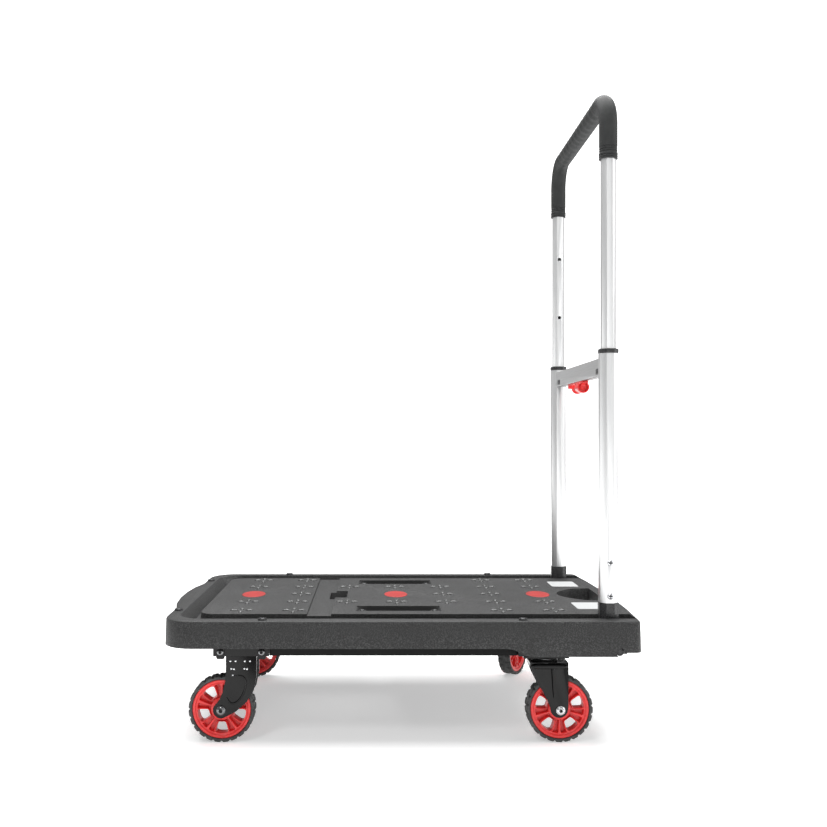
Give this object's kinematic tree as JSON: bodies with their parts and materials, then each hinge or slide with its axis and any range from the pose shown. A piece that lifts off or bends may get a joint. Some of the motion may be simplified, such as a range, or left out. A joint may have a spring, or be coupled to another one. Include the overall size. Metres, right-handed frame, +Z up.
{
  "type": "folding platform cart",
  "caption": "Flat plastic platform on fixed front and swivel rear casters, with a telescopic U handle that folds down into grooves in the deck.",
  "frame": {"origin": "on the floor, under the middle of the deck", "axes": "+X towards the handle end, +Y to the right of a person standing behind the handle, +Z up"},
  "size_m": [0.7486, 0.4955, 1.012],
  "materials": {
    "deck": "fine leather-grain moulded polypropylene",
    "red_plastic": "moulded red nylon",
    "badge_red": "satin blank oval plate",
    "black_plastic": "fine moulded texture",
    "aluminium": "satin anodised",
    "black_steel": "semi-gloss powder coat",
    "bright_steel": "zinc plated",
    "tyre": "moulded rubber with side lugs",
    "grip_rubber": "ribbed rubber sleeve"
  },
  "bodies": {
    "platform": {"badge_front": "badge_red", "badge_middle": "badge_red", "badge_rear": "badge_red", "cross_member_front": "black_steel", "cross_member_rear": "black_steel", "deck": "deck", "front_axle_left": "black_steel", "front_axle_right": "black_steel", "front_bracket_left": "black_steel", "front_bracket_right": "black_steel", "front_fork_left": "black_steel", "front_fork_right": "black_steel", "kingpin_left": "bright_steel", "kingpin_right": "bright_steel", "pivot_pin_left": "bright_steel", "pivot_pin_right": "bright_steel", "rear_bracket_left": "black_steel", "rear_bracket_right": "black_steel", "side_rail_left": "black_steel", "side_rail_right": "black_steel", "swivel_plate_left": "black_steel", "swivel_plate_right": "black_steel"},
    "handle_lower": {"foot_left": "black_plastic", "foot_right": "black_plastic", "lower_tube_left": "aluminium", "lower_tube_right": "aluminium", "collar_left": "black_plastic", "collar_right": "black_plastic", "bar_end_left": "black_plastic", "bar_end_right": "black_plastic", "cross_bar": "aluminium", "bar_insert": "black_plastic", "tube_screw_left_1": "bright_steel", "tube_screw_left_2": "bright_steel", "tube_screw_right_1": "bright_steel", "tube_screw_right_2": "bright_steel"},
    "handle_upper": {"upper_tube": "aluminium", "grip": "grip_rubber", "glide_left": "black_plastic", "glide_right": "black_plastic"},
    "release": {"release_grip": "red_plastic"},
    "pin_left": {"lock_pin_left": "bright_steel"},
    "pin_right": {"lock_pin_right": "bright_steel"},
    "fold_lock": {"fold_lock_rod": "black_steel"},
    "caster_left": {"rear_fork_left": "black_steel", "rear_axle_left": "bright_steel"},
    "caster_right": {"rear_fork_right": "black_steel", "rear_axle_right": "bright_steel"},
    "wheel_front_left": {"tyre_front_left": "tyre", "rim_front_left": "red_plastic", "wheel_bush_front_left": "bright_steel"},
    "wheel_front_right": {"tyre_front_right": "tyre", "rim_front_right": "red_plastic", "wheel_bush_front_right": "bright_steel"},
    "wheel_rear_left": {"tyre_rear_left": "tyre", "rim_rear_left": "red_plastic", "wheel_bush_rear_left": "bright_steel"},
    "wheel_rear_right": {"tyre_rear_right": "tyre", "rim_rear_right": "red_plastic", "wheel_bush_rear_right": "bright_steel"}
  },
  "joints": [
    {"name": "handle_fold", "type": "hinge", "parent": "platform", "child": "handle_lower", "pos_m": [0.292, 0, 0.164], "axis": [0, -1, 0], "range_deg": [0, 88.7]},
    {"name": "handle_telescope", "type": "slide", "parent": "handle_lower", "child": "handle_upper", "axis": [0, 0, -1], "range_m": [0, 0.227]},
    {"name": "release_slide", "type": "slide", "parent": "handle_lower", "child": "release", "axis": [0, 0, -1], "range_m": [0, 0.005], "stiffness_N_per_m": 900, "springref_m": -0.004},
    {"name": "pin_left_slide", "type": "slide", "parent": "handle_lower", "child": "pin_left", "axis": [0, 1, 0], "range_m": [0, 0.004]},
    {"name": "pin_right_slide", "type": "slide", "parent": "handle_lower", "child": "pin_right", "axis": [0, -1, 0], "range_m": [0, 0.004]},
    {"name": "fold_lock_slide", "type": "slide", "parent": "platform", "child": "fold_lock", "axis": [0, 0, -1], "range_m": [0, 0.006], "stiffness_N_per_m": 1500, "springref_m": -0.005},
    {"name": "swivel_left", "type": "hinge", "parent": "platform", "child": "caster_left", "pos_m": [0.226, -0.19, 0.118], "axis": [0, 0, 1], "continuous": true},
    {"name": "swivel_right", "type": "hinge", "parent": "platform", "child": "caster_right", "pos_m": [0.226, 0.19, 0.118], "axis": [0, 0, 1], "continuous": true},
    {"name": "wheel_front_left_spin", "type": "hinge", "parent": "platform", "child": "wheel_front_left", "pos_m": [-0.2725, -0.19, 0.051], "axis": [0, 1, 0], "continuous": true},
    {"name": "wheel_front_right_spin", "type": "hinge", "parent": "platform", "child": "wheel_front_right", "pos_m": [-0.2725, 0.19, 0.051], "axis": [0, 1, 0], "continuous": true},
    {"name": "wheel_rear_left_spin", "type": "hinge", "parent": "caster_left", "child": "wheel_rear_left", "pos_m": [0.248, -0.19, 0.051], "axis": [0, 1, 0], "continuous": true},
    {"name": "wheel_rear_right_spin", "type": "hinge", "parent": "caster_right", "child": "wheel_rear_right", "pos_m": [0.237, 0.20905, 0.051], "axis": [-0.866, 0.5, 0], "continuous": true}
  ],
  "couplings": [
    {"joint": "pin_left_slide", "follows": "release_slide", "ratio": 0.8},
    {"joint": "pin_right_slide", "follows": "release_slide", "ratio": 0.8}
  ]
}
